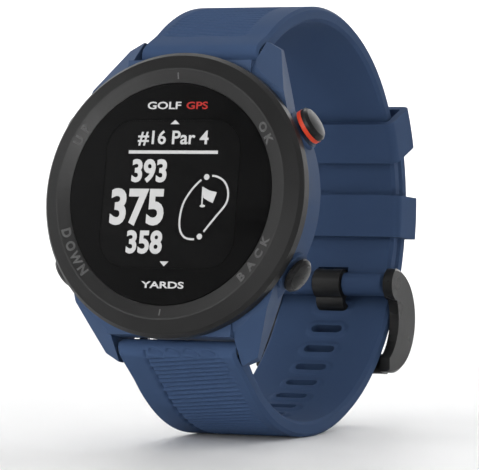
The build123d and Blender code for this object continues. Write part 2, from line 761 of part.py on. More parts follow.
# ---------------------------------------------------------------- keepers
def keeper(angle):
    """Rubber loop round both strap layers, curved with them and cut to one width."""
    low = CLASP_RADIUS - STRAP_THICK / 2 - KEEPER_PLAY
    high = TAIL_RADIUS + STRAP_THICK / 2 + KEEPER_PLAY
    half = STRAP_HALF + KEEPER_PLAY
    c, s = turn(angle - 10)
    sweep_axis = Axis(Vector(0, *clasp_centre), Vector(1, 0, 0))
    section = Plane(origin=(0, *polar(clasp_centre, (low + high) / 2, angle - 10)),
                    x_dir=(1, 0, 0), z_dir=(0, -s, c))
    with BuildPart() as piece:
        with BuildSketch(section):
            RectangleRounded(2 * (half + KEEPER_WALL), high - low + 2 * KEEPER_WALL, 1.3)
            RectangleRounded(2 * half, high - low, 0.4, mode=Mode.SUBTRACT)
        revolve(axis=sweep_axis, revolution_arc=20)
        with BuildSketch(strap_plane(clasp_centre, 0, angle)):
            Rectangle(60, KEEPER_WIDTH)
        extrude(amount=50, mode=Mode.INTERSECT)
    return piece


for name, angle in KEEPER_ANGLES.items():
    pieces[name] = keeper(angle)

# ---------------------------------------------------------------- all pieces, stood up and written
pieces.update({
    "bezel": bezel,
    "cover_glass": cover_glass,
    "glass_seal": glass_seal,
    "display_panel": display_panel,
    "display_backlight": display_backlight,
    "display_flex": display_flex,
    "inner_frame": inner_frame,
    "gps_antenna": gps_antenna,
    "main_board": main_board,
    "shield_cans": shield_cans,
    "tact_switches": tact_switches,
    "battery": battery,
    "battery_pad": battery_pad,
    "case_body": case_body,
    "case_seal": case_seal,
    "back_cover": back_cover,
    "back_screws": back_screws,
    "charge_contacts": charge_contacts,
    "upper_strap": upper_strap,
    "lower_strap": lower_strap,
    "buckle_pin": buckle_pin,
    "buckle_frame": buckle_frame,
    "buckle_prong": buckle_prong,
})

leaned = Compound(children=[p.part.rotate(Axis.X, -LEAN) for p in pieces.values()])
box = leaned.bounding_box()
drop = Vector(-(box.min.X + box.max.X) / 2, -(box.min.Y + box.max.Y) / 2, -box.min.Z)

for name, piece in pieces.items():
    piece.part = piece.part.rotate(Axis.X, -LEAN).translate(drop)
    piece.part.label = name
    export_step(piece.part, f"parts/{name}.step")

print("size", round(box.size.X, 2), round(box.size.Y, 2), round(box.size.Z, 2), "drop", drop)
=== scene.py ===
import json
import math

import bmesh
import bpy
from mathutils import Matrix, Vector


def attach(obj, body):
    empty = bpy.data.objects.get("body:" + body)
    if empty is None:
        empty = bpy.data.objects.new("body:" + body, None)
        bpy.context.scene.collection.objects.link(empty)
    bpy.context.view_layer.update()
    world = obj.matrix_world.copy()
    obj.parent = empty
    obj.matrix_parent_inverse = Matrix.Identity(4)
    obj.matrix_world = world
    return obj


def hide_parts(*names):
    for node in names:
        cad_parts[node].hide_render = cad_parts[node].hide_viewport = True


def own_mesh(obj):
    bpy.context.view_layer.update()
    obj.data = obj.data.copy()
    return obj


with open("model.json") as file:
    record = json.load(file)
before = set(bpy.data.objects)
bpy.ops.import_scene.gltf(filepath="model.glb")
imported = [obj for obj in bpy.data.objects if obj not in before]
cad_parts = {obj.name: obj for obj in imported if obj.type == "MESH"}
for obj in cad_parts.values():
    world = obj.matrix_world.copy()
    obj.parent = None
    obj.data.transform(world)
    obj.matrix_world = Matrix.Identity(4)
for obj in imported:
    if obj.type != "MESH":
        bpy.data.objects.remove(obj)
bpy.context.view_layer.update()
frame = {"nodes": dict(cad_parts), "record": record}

# A golf GPS watch on its closed strap. Most lengths are millimetres in the dial's own axes:
# x to 3 o'clock, y from the glass to the wrist, z to 12 o'clock. DIAL turns them into the frame.
MM = 0.001
NODES = frame["nodes"]

lens = next(m for m in frame["record"]["mounts"] if m["name"] == "lens_face")
GLASS_FRONT = 0.45
LEAN = math.atan2(lens["axis"][2], -lens["axis"][1])
DIAL_TURN = Matrix.Rotation(-LEAN, 4, "X")
DIAL_ORIGIN = Vector(lens["pos_m"]) - DIAL_TURN @ Vector((0, GLASS_FRONT * MM, 0))
DIAL = Matrix.Translation(DIAL_ORIGIN) @ DIAL_TURN @ Matrix.Scale(MM, 4)

# --- the strap's line, as in the CAD part
BAR_DEPTH, BAR_HEIGHT = 8.2, 22.9
STRAP_HALF, STRAP_THICK, EDGE_CHAMFER, END_RADIUS = 10.0, 2.4, 0.5, 1.65
UPPER_HEADING, UPPER_STRAIGHT, CROWN_RADIUS, CROWN_END = 40.0, 4.4, 31.9, -30.0
LOWER_HEADING, LOWER_STRAIGHT = 35.0, 7.2
CLASP_RADIUS, LAYER_GAP, TAIL_TIP = 29.4, 0.4, 31.0
TUBE_RADIUS, TUBE_ORBIT, TUBE_ANGLE = 2.0, 28.5, -17.9
HOLE_WIDTH, HOLE_LENGTH, HOLE_PITCH, PRONG_HOLE = 5.4, 1.5, 7.15, -21.45
HOLES_BELOW, HOLES_ABOVE = 7, 3
BAR_BORE, PIN_BORE, PRONG_GAP = 0.9, 0.7, 2.7
LEVER_X, LEVER_SLOT = -6.35, (4.6, 2.0)


def turn(degrees):
    """Unit vector in the y-z plane, counted from +y towards +z."""
    return math.cos(math.radians(degrees)), math.sin(math.radians(degrees))


def polar(centre, radius, degrees):
    """Point in the y-z plane at a radius and angle about a centre."""
    c, s = turn(degrees)
    return centre[0] + radius * c, centre[1] + radius * s


def ahead(point, degrees, distance):
    """Point a distance away from another, along a heading in the y-z plane."""
    return polar(point, distance, degrees)


upper_bar, lower_bar = (BAR_DEPTH, BAR_HEIGHT), (BAR_DEPTH, -BAR_HEIGHT)
crown_start = ahead(upper_bar, UPPER_HEADING, UPPER_STRAIGHT)
crown_centre = polar(crown_start, CROWN_RADIUS, UPPER_HEADING - 90)
clasp_start = polar(crown_centre, CROWN_RADIUS, CROWN_END + 90)
clasp_centre = polar(clasp_start, CLASP_RADIUS, CROWN_END - 90)
TAIL_RADIUS = CLASP_RADIUS + STRAP_THICK + LAYER_GAP
foot_start = ahead(lower_bar, -LOWER_HEADING, LOWER_STRAIGHT)
bend_share = 1 + turn(LOWER_HEADING)[1] - turn(LOWER_HEADING)[0]
FOOT_RADIUS = (clasp_centre[0] + TAIL_RADIUS - foot_start[0] - clasp_centre[1] + foot_start[1]) / bend_share
foot_centre = polar(foot_start, FOOT_RADIUS, 90 - LOWER_HEADING)
LOOP_RADIUS = clasp_centre[1] - (foot_centre[1] - FOOT_RADIUS)
loop_centre = (foot_centre[0], clasp_centre[1])
tube_centre = polar(clasp_centre, TUBE_ORBIT, TUBE_ANGLE)


# ------------------------------------------------------------------ small tools
def smooth(low, high, value):
    """0 below low, 1 above high, eased between."""
    t = min(max((value - low) / (high - low), 0.0), 1.0)
    return t * t * (3 - 2 * t)


def new_object(name, bm, material, body="case", transform=DIAL, smooth_shade=True):
    """Turns a bmesh in dial millimetres into a piece that rides on a body."""
    mesh = bpy.data.meshes.new(name)
    bmesh.ops.recalc_face_normals(bm, faces=bm.faces)
    bm.to_mesh(mesh)
    bm.free()
    mesh.transform(transform)
    if smooth_shade:
        mesh.shade_smooth()
    mesh.materials.append(material)
    piece = bpy.data.objects.new(name, mesh)
    bpy.context.collection.objects.link(piece)
    if body:
        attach(piece, body)
    return piece


def sharpen(piece, degrees=35):
    """Splits the shading at edges sharper than an angle."""
    bm = bmesh.new()
    bm.from_mesh(piece.data)
    for edge in bm.edges:
        edge.smooth = not (len(edge.link_faces) == 2 and edge.calc_face_angle() > math.radians(degrees))
    bm.to_mesh(piece.data)
    bm.free()


def set_inputs(node, **values):
    """Sets a node's sockets by name, with _ for a space."""
    for key, value in values.items():
        node.inputs[key.replace("_", " ")].default_value = value


# ------------------------------------------------------------------ materials
def surface(name, colour, roughness, metallic=0.0, mottle=0.12, grain=900.0, bump=0.08, wear_and_edge_highlight=0.0, sheen=0.2,
            **more):
    """A moulded or painted surface: uneven colour and gloss, fine grain, and paler convex edges when asked:
    rubbed wear on the buttons, a painted edge highlight on the buckle.
    """
    mat = bpy.data.materials.new(name)
    mat.use_nodes = True
    tree = mat.node_tree
    shader = tree.nodes["Principled BSDF"]
    set_inputs(shader, Metallic=metallic, Specular_IOR_Level=sheen, **more)
    place = tree.nodes.new("ShaderNodeTexCoord")
    cloud = tree.nodes.new("ShaderNodeTexNoise")
    set_inputs(cloud, Scale=140.0, Detail=3.0, Roughness=0.55)
    tree.links.new(place.outputs["Object"], cloud.inputs["Vector"])
    tint = tree.nodes.new("ShaderNodeMix")
    tint.data_type = "RGBA"
    dark = [c * (1 - mottle) for c in colour[:3]] + [1]
    light = [min(c * (1 + mottle), 1) for c in colour[:3]] + [1]
    tint.inputs["A"].default_value = dark
    tint.inputs["B"].default_value = light
    tree.links.new(cloud.outputs["Fac"], tint.inputs["Factor"])
    last = tint.outputs["Result"]
    # paler convex edges: rubbed wear on the buttons, a painted edge highlight on the buckle
    if wear_and_edge_highlight:
        edge = tree.nodes.new("ShaderNodeNewGeometry")
        ramp = tree.nodes.new("ShaderNodeMapRange")
        set_inputs(ramp, From_Min=0.53, From_Max=0.62, To_Min=0.0, To_Max=wear_and_edge_highlight)
        tree.links.new(edge.outputs["Pointiness"], ramp.inputs["Value"])
        rub_and_highlight = tree.nodes.new("ShaderNodeMix")
        rub_and_highlight.data_type = "RGBA"
        rub_and_highlight.inputs["B"].default_value = [min(c * 1.8 + 0.02, 1) for c in colour[:3]] + [1]
        tree.links.new(ramp.outputs["Result"], rub_and_highlight.inputs["Factor"])
        tree.links.new(last, rub_and_highlight.inputs["A"])
        last = rub_and_highlight.outputs["Result"]
    tree.links.new(last, shader.inputs["Base Color"])
    gloss = tree.nodes.new("ShaderNodeMapRange")
    set_inputs(gloss, From_Min=0.3, From_Max=0.7, To_Min=roughness - 0.05, To_Max=roughness + 0.06)
    tree.links.new(cloud.outputs["Fac"], gloss.inputs["Value"])
    tree.links.new(gloss.outputs["Result"], shader.inputs["Roughness"])
    if bump:
        fine = tree.nodes.new("ShaderNodeTexNoise")
        set_inputs(fine, Scale=grain, Detail=4.0, Roughness=0.6)
        tree.links.new(place.outputs["Object"], fine.inputs["Vector"])
        raised = tree.nodes.new("ShaderNodeBump")
        set_inputs(raised, Strength=bump, Distance=0.0002)
        tree.links.new(fine.outputs["Fac"], raised.inputs["Height"])
        tree.links.new(raised.outputs["Normal"], shader.inputs["Normal"])
    return mat


SLATE = (0.041, 0.071, 0.142)
M_STRAP = surface("silicone_slate_blue", SLATE, 0.72, bump=0.10, grain=1500.0, mottle=0.07, sheen=0.06)
M_CASE = surface("polymer_slate_blue", (0.039, 0.068, 0.136), 0.55, bump=0.07, grain=2600.0, mottle=0.06,
                 sheen=0.1)
M_BEZEL = surface("bezel_black", (0.013, 0.013, 0.013), 0.36, bump=0.10, grain=2600.0, mottle=0.15, sheen=0.2)
M_LENS = surface("lens_black", (0.0012, 0.0012, 0.0013), 0.16, bump=0.0, mottle=0.1, sheen=0.045)
M_WINDOW = surface("display_window", (0.0026, 0.0026, 0.0027), 0.16, bump=0.0, mottle=0.06, sheen=0.045)
M_BUTTON = surface("button_black", (0.006, 0.006, 0.0065), 0.28, bump=0.05, mottle=0.15, wear_and_edge_highlight=0.2, sheen=0.16)
M_RING = surface("ring_red", (0.60, 0.05, 0.018), 0.35, bump=0.0, mottle=0.06)
# the buckle's paler edges are a painted edge highlight
M_BUCKLE = surface("buckle_black", (0.007, 0.007, 0.0068), 0.3, bump=0.06, mottle=0.15, wear_and_edge_highlight=0.5, sheen=0.14)
M_STEEL = surface("steel", (0.42, 0.42, 0.43), 0.28, metallic=1.0, bump=0.05, mottle=0.06)
M_BACK = surface("case_back_black", (0.014, 0.014, 0.015), 0.42, bump=0.08, grain=2200.0, mottle=0.12)
M_GOLD = surface("gold_contact", (0.83, 0.60, 0.25), 0.22, metallic=1.0, bump=0.03, mottle=0.05)
M_RUBBER = surface("seal_rubber", (0.010, 0.010, 0.010), 0.65, bump=0.1, mottle=0.15)
M_INNER = surface("inner_plastic", (0.03, 0.03, 0.032), 0.5, bump=0.08, mottle=0.1)
M_BOARD = surface("circuit_board", (0.015, 0.09, 0.035), 0.35, bump=0.05, mottle=0.2)
M_FOIL = surface("copper_foil", (0.80, 0.42, 0.22), 0.3, metallic=1.0, bump=0.05, mottle=0.08)
M_CELL = surface("cell_wrap", (0.62, 0.63, 0.65), 0.33, metallic=0.9, bump=0.08, mottle=0.06)
M_FLEX = surface("polyimide", (0.42, 0.17, 0.025), 0.3, bump=0.03, mottle=0.1)
M_LIGHT = surface("light_guide", (0.8, 0.8, 0.8), 0.4, bump=0.04, mottle=0.03)
M_PRINT = surface("lens_print_white", (0.50, 0.50, 0.50), 0.5, bump=0.0, mottle=0.03)
M_PRINT_RED = surface("lens_print_red", (0.35, 0.012, 0.008), 0.5, bump=0.0, mottle=0.05)
# engraving grey paler than the bezel: a painted highlight for the light caught by the engraved lines
M_ENGRAVE_HIGHLIGHT = surface("bezel_engraving_painted_highlight", (0.10, 0.10, 0.10), 0.45, bump=0.05, mottle=0.1)
M_WINDOW_LINE = surface("display_window_line", (0.0012, 0.0012, 0.0012), 0.3, bump=0.0, mottle=0.05, sheen=0.03)

NODE_LOOKS = {
    M_BEZEL: ["bezel"],
    M_LENS: ["cover_glass"],
    M_RUBBER: ["glass_seal", "case_seal", "battery_pad"],
    M_WINDOW: ["display_panel"],
    M_LIGHT: ["display_backlight"],
    M_FLEX: ["display_flex"],
    M_INNER: ["inner_frame"],
    M_FOIL: ["gps_antenna"],
    M_BOARD: ["main_board"],
    M_CELL: ["battery"],
    M_CASE: ["case_body"],
    M_BACK: ["back_cover"],
    M_GOLD: ["charge_contacts"],
    M_RING: ["ok_ring"],
    M_BUCKLE: ["buckle_frame", "buckle_prong"],
    M_STRAP: ["upper_keeper", "lower_keeper"],
    M_STEEL: ["shield_cans", "tact_switches", "back_screws", "buckle_pin"],
}
for side in ("up", "down", "ok", "back"):
    NODE_LOOKS[M_BUTTON] = NODE_LOOKS.get(M_BUTTON, []) + [side + "_button"]
    NODE_LOOKS[M_RUBBER].append(side + "_seal")
    NODE_LOOKS[M_STEEL].append(side + "_clip")
for end in ("upper", "lower"):
    NODE_LOOKS[M_STEEL] += [end + "_lug_bar", end + "_lug_latch", end + "_latch_spring"]
for look, names in NODE_LOOKS.items():
    for name in names:
        for slot in NODES[name].material_slots:
            slot.material = look


def soften(node, width, segments=2, angle=35):
    """Rounds a CAD piece's edges a little where its faces share their corners."""
    bevel = NODES[node].modifiers.new("soft_edge", "BEVEL")
    bevel.width = width * MM
    bevel.segments = segments
    bevel.limit_method = "ANGLE"
    bevel.angle_limit = math.radians(angle)
    bevel.harden_normals = True


# ------------------------------------------------------------------ strap bands
class Route:
    """A line of straight runs and arcs in the y-z plane, measured from a first distance."""

    def __init__(self, start, runs):
        self.start = start
        self.runs = runs
        self.length = start + sum(run["length"] for run in runs)

    def at(self, distance):
        """Point, and the unit vector that points away from the wrist, at a distance along the line."""
        left = distance - self.start
        for run in self.runs:
            if left <= run["length"] or run is self.runs[-1]:
                break
            left -= run["length"]
        if run["centre"] is None:
            return ahead(run["from"], run["heading"], left), turn(run["outward"])
        angle = run["first"] + math.copysign(math.degrees(left / run["radius"]), run["sweep"])
        return polar(run["centre"], run["radius"], angle), turn(angle)


def straight(origin, heading, length, outward):
    return {"from": origin, "heading": heading, "length": length, "outward": outward, "centre": None}


def arc(centre, radius, first, sweep):
    length = abs(math.radians(sweep)) * radius
    return {"centre": centre, "radius": radius, "first": first, "sweep": sweep, "length": length}


upper_route = Route(-END_RADIUS, [
    straight(ahead(upper_bar, UPPER_HEADING, -END_RADIUS), UPPER_HEADING, UPPER_STRAIGHT + END_RADIUS,
             UPPER_HEADING + 90),
    arc(crown_centre, CROWN_RADIUS, UPPER_HEADING + 90, CROWN_END - UPPER_HEADING),
    arc(clasp_centre, CLASP_RADIUS, CROWN_END + 90,
        TUBE_ANGLE - math.degrees(TUBE_RADIUS / CLASP_RADIUS) - CROWN_END - 90),
])
lower_route = Route(-END_RADIUS, [
    straight(ahead(lower_bar, -LOWER_HEADING, -END_RADIUS), -LOWER_HEADING, LOWER_STRAIGHT + END_RADIUS,
             -90 - LOWER_HEADING),
    arc(foot_centre, FOOT_RADIUS, -90 - LOWER_HEADING, LOWER_HEADING),
    arc(loop_centre, LOOP_RADIUS, -90, 90),
    arc(clasp_centre, TAIL_RADIUS, 0, TAIL_TIP + math.degrees(STRAP_THICK / 2 / TAIL_RADIUS)),
])
HALF_THICK = STRAP_THICK / 2
MIN_EDGE = 0.02


def root_half(distance, joint):
    """Half thickness at a strap's case end: round about the bar, then thinning to the band."""
    if distance < 0:
        return math.sqrt(max(END_RADIUS**2 - distance**2, 0.0))
    return END_RADIUS + (HALF_THICK - END_RADIUS) * smooth(0, joint, distance)


def tube_distance(distance):
    return upper_route.length - TUBE_RADIUS - distance


def upper_skin(distance):
    """Outer and wrist-side offsets of the upper strap from its middle line."""
    if distance < UPPER_STRAIGHT:
        half = root_half(distance, UPPER_STRAIGHT)
        return half, half
    to_tube = tube_distance(distance)
    sink = CLASP_RADIUS - TUBE_ORBIT
    if to_tube < TUBE_RADIUS:
        bulge = math.sqrt(max(TUBE_RADIUS**2 - to_tube**2, 0.0))
        outer = bulge - sink if to_tube < 0 else max(bulge - sink, HALF_THICK)
        return outer, max(bulge + sink, HALF_THICK if to_tube > 0 else -9)
    return HALF_THICK, HALF_THICK


def lower_skin(distance):
    """Outer and wrist-side offsets of the lower strap from its middle line."""
    if distance < LOWER_STRAIGHT:
        half = root_half(distance, LOWER_STRAIGHT)
        return half, half
    to_tip = lower_route.length - distance
    if to_tip < HALF_THICK:
        half = math.sqrt(max(HALF_THICK**2 - (HALF_THICK - to_tip) ** 2, 0.0))
        return half, half
    return HALF_THICK, HALF_THICK


# The ribbed field on the strap's outer face, the notched line at its left and the hooks at its top.
RIB_PITCH, RIB_SLANT, RIB_DEPTH = 1.0, -0.13, 0.42
FIELD_LEFT, FIELD_RIGHT = -5.4, 7.3
FIELD_END = (33, 36)  # the stretch over which ribs and notches run out
NOTCH_WIDTH, NOTCH_DEPTH = 0.2, 0.5
HOOKS, HOOK_FIRST, HOOK_PITCH = 4, -3.4, 3.0
HOOK_HALF, HOOK_FADE, HOOK_WIDTH, HOOK_DEPTH = 1.2, 0.2, 0.26, 0.5
HOOK_LINE, HOOK_CURVE = -1.15, 0.10


def rib(distance, x):
    """Ribs that run across the strap with a slight slant, steeper on one side."""
    phase = ((distance - x * RIB_SLANT) / RIB_PITCH) % 1.0
    return -RIB_DEPTH * (1 - smooth(0.0, 0.3, phase) * (1 - smooth(0.45, 1.0, phase)))


def hook_depth(distance, x):
    """Depth of the short curved notches in a row across the strap's case end."""
    depth = 0.0
    for i in range(HOOKS):
        centre = HOOK_FIRST + HOOK_PITCH * i
        line = HOOK_LINE + HOOK_CURVE * (x - centre + HOOK_HALF) ** 2
        near = math.exp(-(((distance - line) / HOOK_WIDTH) ** 2))
        left = smooth(centre - HOOK_HALF - HOOK_FADE, centre - HOOK_HALF + HOOK_FADE, x)
        right = smooth(centre + HOOK_HALF - HOOK_FADE, centre + HOOK_HALF + HOOK_FADE, x)
        depth += HOOK_DEPTH * near * left * (1 - right)
    return depth


def lower_relief(distance, x):
    """Height of the lower strap's outer face: a plain left border, a notched line and a ribbed field."""
    fade = 1 - smooth(*FIELD_END, distance)
    field = smooth(FIELD_LEFT, FIELD_LEFT + 0.25, x) * (1 - smooth(FIELD_RIGHT, FIELD_RIGHT + 1, x))
    field *= smooth(-0.5, 0.2, distance) * fade
    notch_row = math.exp(-(((x - FIELD_LEFT) / NOTCH_WIDTH) ** 2)) * smooth(-1.3, -1.0, distance)
    notch = 0.5 + 0.5 * math.sin(math.pi * (distance - x * RIB_SLANT) / RIB_PITCH)
    notches = NOTCH_DEPTH * notch_row * (0.3 + 0.7 * notch) * fade
    return field * rib(distance, x) - notches - hook_depth(distance, x)


UPPER_LEFT, UPPER_RIGHT, UPPER_TAPER = -8.4, 5.6, 0.05
UPPER_START, UPPER_END = (3.0, 4.0), (20, 30)
UPPER_SHARE = 0.8  # of the lower strap's rib depth


def upper_relief(distance, x):
    """Height of the upper strap's outer face: slanted ribs on the left and a plain right border."""
    right = UPPER_RIGHT - UPPER_TAPER * distance
    field = smooth(UPPER_LEFT, UPPER_LEFT + 0.6, x) * (1 - smooth(right, right + 0.8, x))
    field *= smooth(*UPPER_START, distance) * (1 - smooth(*UPPER_END, distance))
    return field * rib(distance, x) * UPPER_SHARE


def hole_spots():
    """Distances along the lower strap of its adjustment holes."""
    bend = LOWER_STRAIGHT + math.radians(LOWER_HEADING) * FOOT_RADIUS
    spots = []
    for step in range(-HOLES_ABOVE, HOLES_BELOW + 1):
        spots.append(bend + math.radians(90 + PRONG_HOLE - step * HOLE_PITCH) * LOOP_RADIUS)
    quarter = bend + math.radians(90) * LOOP_RADIUS
    for step in (1, 2):
        spots.append(quarter + math.radians(step * HOLE_PITCH * 1.1) * TAIL_RADIUS)
    return spots


HOLES = hole_spots()
LIP_HEIGHT, LIP_INNER, LIP_OUTER = 0.26, 1.35, 1.75


def lower_wrist_relief(distance, x):
    """A raised lip round each hole on the wrist side."""
    height = 0.0
    flat = HOLE_WIDTH / 2 - HOLE_LENGTH / 2
    for spot in HOLES:
        if abs(distance - spot) > LIP_OUTER + 0.45:
            continue
        reach = math.hypot(max(abs(x) - flat, 0.0), distance - spot)
        height = max(height, LIP_HEIGHT * smooth(LIP_OUTER, LIP_INNER, reach))
    return height


def flat_relief(distance, x):
    return 0.0


def spread(low, high, step):
    """Evenly spaced values from low to high, at most a step apart."""
    count = max(1, math.ceil((high - low) / step))
    return [low + (high - low) * i / count for i in range(count + 1)]


def stations(route, fine_end, fine_step, coarse_step, end_radius):
    """Distances along a route, closer together where the ribs and the round ends are."""
    first = [-END_RADIUS * math.cos(math.radians(a)) for a in range(4, 90, 5)]
    body = spread(0, fine_end, fine_step) + spread(fine_end, route.length - end_radius, coarse_step)[1:]
    last = [route.length - end_radius * (1 - math.sin(math.radians(a))) for a in range(12, 88, 12)]
    return first + body + last


def band(route, distances, skin, outer_relief, wrist_relief, outer_step, wrist_step):
    """A closed strap: rings of points across it, swept along its route, with relief on both faces."""
    flat = STRAP_HALF - EDGE_CHAMFER
    outer_x = spread(-flat, flat, outer_step)
    wrist_x = spread(-flat, flat, wrist_step)[::-1]
    bm = bmesh.new()
    rings = []
    for distance in distances:
        (y, z), (ny, nz) = route.at(distance)
        outer, inner = skin(distance)
        room = max(outer + inner, MIN_EDGE)
        cut = min(EDGE_CHAMFER, room * 0.3)
        ring = []
        for x in outer_x:
            ring.append((x, outer + outer_relief(distance, x)))
        ring.append((STRAP_HALF, outer - cut))
        ring.append((STRAP_HALF, -inner + cut))
        for x in wrist_x:
            ring.append((x, -inner - wrist_relief(distance, x)))
        ring.append((-STRAP_HALF, -inner + cut))
        ring.append((-STRAP_HALF, outer - cut))
        rings.append([bm.verts.new((x, y + ny * h, z + nz * h)) for x, h in ring])
    count = len(rings[0])
    for one, two in zip(rings, rings[1:]):
        for i in range(count):
            bm.faces.new((one[i], one[(i + 1) % count], two[(i + 1) % count], two[i]))
    bm.faces.new(rings[0][::-1])
    bm.faces.new(rings[-1])
    return bm


def prism(bm, outline, low, high, place):
    """A closed prism over a flat outline, its local x, y, z turned by a function."""
    bottom = [bm.verts.new(place(u, v, low)) for u, v in outline]
    top = [bm.verts.new(place(u, v, high)) for u, v in outline]
    count = len(outline)
    bm.faces.new(bottom[::-1])
    bm.faces.new(top)
    for i in range(count):
        bm.faces.new((bottom[i], bottom[(i + 1) % count], top[(i + 1) % count], top[i]))


def obround(width, length, steps=8):
    """Outline of a slot with round ends, its long side along u."""
    radius, reach = length / 2, (width - length) / 2
    outline = []
    for sign in (1, -1):
        for i in range(steps + 1):
            angle = math.radians(-90 + 180 * i / steps)
            outline.append((sign * (reach + radius * math.cos(angle)), sign * radius * math.sin(angle)))
    return outline


def circle(radius, steps=32):
    return [(radius * math.cos(2 * math.pi * i / steps), radius * math.sin(2 * math.pi * i / steps))
            for i in range(steps)]


def across(route, distance):
    """Placer for a cutter that goes through a strap: u along x, v along the strap, w outwards."""
    (y, z), (ny, nz) = route.at(distance)

    def place(u, v, w):
        return u, y + ny * w - nz * v, z + nz * w + ny * v

    return place


def sideways(centre):
    """Placer for a cutter that runs along x through a point of the y-z plane."""

    def place(u, v, w):
        return w, centre[0] + u, centre[1] + v

    return place


def carve(piece, cutter_bm):
    """Cuts closed shapes out of a piece and applies the result."""
    cutter = new_object(piece.name + "_cutter", cutter_bm, M_STRAP, body=None)
    cut = piece.modifiers.new("cut", "BOOLEAN")
    cut.operation = "DIFFERENCE"
    cut.solver = "EXACT"
    cut.object = cutter
    depsgraph = bpy.context.evaluated_depsgraph_get()
    mesh = bpy.data.meshes.new_from_object(piece.evaluated_get(depsgraph))
    piece.modifiers.clear()
    old = piece.data
    piece.data = mesh
    bpy.data.meshes.remove(old)
    bpy.data.objects.remove(cutter)
    piece.data.shade_smooth()
    sharpen(piece)


def latch_window(bm, bar, inward, low, high):
    """Cutter for the slot on the wrist side that shows the quick-release lever."""
    c, s = turn(inward)

    def place(u, v, w):
        return u + LEVER_X, bar[0] + c * w - s * v, bar[1] + s * w + c * v

    prism(bm, obround(*LEVER_SLOT), low, high, place)


def make_lower_strap():
    distances = stations(lower_route, 36, 0.14, 0.32, HALF_THICK)
    bm = band(lower_route, distances, lower_skin, lower_relief, lower_wrist_relief, 0.3, 0.35)
    strap = new_object("strap_lower_half", bm, M_STRAP, body=None)
    cutter = bmesh.new()
    for spot in HOLES:
        prism(cutter, obround(HOLE_WIDTH, HOLE_LENGTH), -3, 3, across(lower_route, spot))
    prism(cutter, circle(BAR_BORE), -STRAP_HALF - 1, STRAP_HALF + 1, sideways(lower_bar))
    latch_window(cutter, lower_bar, 90 - LOWER_HEADING, 0.2, 3)
    carve(strap, cutter)
    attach(strap, "lower_band")
    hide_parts("lower_strap")
    return strap


def make_upper_strap():
    distances = stations(upper_route, 32, 0.14, 0.4, 2 * TUBE_RADIUS)
    bm = band(upper_route, distances, upper_skin, upper_relief, flat_relief, 0.3, 0.6)
    strap = new_object("strap_upper_half", bm, M_STRAP, body=None)
    cutter = bmesh.new()
    prism(cutter, circle(TUBE_RADIUS + 0.8), -PRONG_GAP, PRONG_GAP, sideways(tube_centre))
    prism(cutter, circle(PIN_BORE), -STRAP_HALF - 1, STRAP_HALF + 1, sideways(tube_centre))
    prism(cutter, circle(BAR_BORE), -STRAP_HALF - 1, STRAP_HALF + 1, sideways(upper_bar))
    latch_window(cutter, upper_bar, UPPER_HEADING - 90, 0.2, 3)
    carve(strap, cutter)
    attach(strap, "upper_band")
    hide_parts("upper_strap")
    return strap


def make_latch_spring(end):
    """The quick-release spring, copied from its CAD part to ride on its band."""
    cad = NODES[end + "_latch_spring"]
    coil = bpy.data.objects.new(end + "_spring_coil", cad.data.copy())
    coil.matrix_world = cad.matrix_world.copy()
    bpy.context.collection.objects.link(coil)
    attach(coil, end + "_band")
    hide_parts(end + "_latch_spring")
    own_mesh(coil)


make_lower_strap()
make_upper_strap()
make_latch_spring("upper")
make_latch_spring("lower")


# ------------------------------------------------------------------ marks on the lens and the bezel
PRINT_FRONT, PRINT_BACK = GLASS_FRONT - 0.03, GLASS_FRONT + 0.02
WINDOW_FRONT = GLASS_FRONT - 0.008
WINDOW_HALF, WINDOW_CORNER = 11.3, 4.6
CONE_INNER, CONE_OUTER, CONE_DEPTH = 17.05, 19.0, 0.5


def on_lens(u, v, w):
    """Placer for the lens face: u to 3 o'clock, v to 12 o'clock, w forwards from the print's back."""
    return u, PRINT_BACK - w * (PRINT_BACK - PRINT_FRONT), v


def glyphs(words, weight=0.0, outline=0.0):
    """A bmesh of letters lying flat, one unit high; with an outline, only a bead along their edges."""
    curve = bpy.data.curves.new("letters", "FONT")
    curve.body = words
    curve.size = 1.0
    curve.offset = weight
    curve.resolution_u = 4
    if outline:
        curve.fill_mode = "NONE"
        curve.bevel_depth = outline
        curve.bevel_resolution = 1
    else:
        curve.extrude = 0.5
    holder = bpy.data.objects.new("letters", curve)
    bpy.context.collection.objects.link(holder)
    depsgraph = bpy.context.evaluated_depsgraph_get()
    mesh = bpy.data.meshes.new_from_object(holder.evaluated_get(depsgraph))
    bm = bmesh.new()
    bm.from_mesh(mesh)
    bpy.data.meshes.remove(mesh)
    bpy.data.objects.remove(holder)
    bpy.data.curves.remove(curve)
    return bm


def extent(bm, axis):
    values = [vert.co[axis] for vert in bm.verts]
    return min(values), max(values)


def lens_words(name, words, left, right, foot, head, material, weight=0.0):
    """Words printed on the lens, fitted to a rectangle."""
    bm = glyphs(words, weight)
    x_low, x_high = extent(bm, 0)
    y_low, y_high = extent(bm, 1)
    for vert in bm.verts:
        u = left + (vert.co.x - x_low) / (x_high - x_low) * (right - left)
        v = foot + (vert.co.y - y_low) / (y_high - y_low) * (head - foot)
        vert.co = on_lens(u, v, 1 if vert.co.z > 0 else 0)
    new_object(name, bm, material, smooth_shade=False)


def lens_shape(name, outline, material, front=PRINT_FRONT):
    """A flat shape printed on the lens."""
    bm = bmesh.new()
    prism(bm, outline, 0, 1, lambda u, v, w: (u, PRINT_BACK - w * (PRINT_BACK - front), v))
    new_object(name, bm, material, smooth_shade=False)


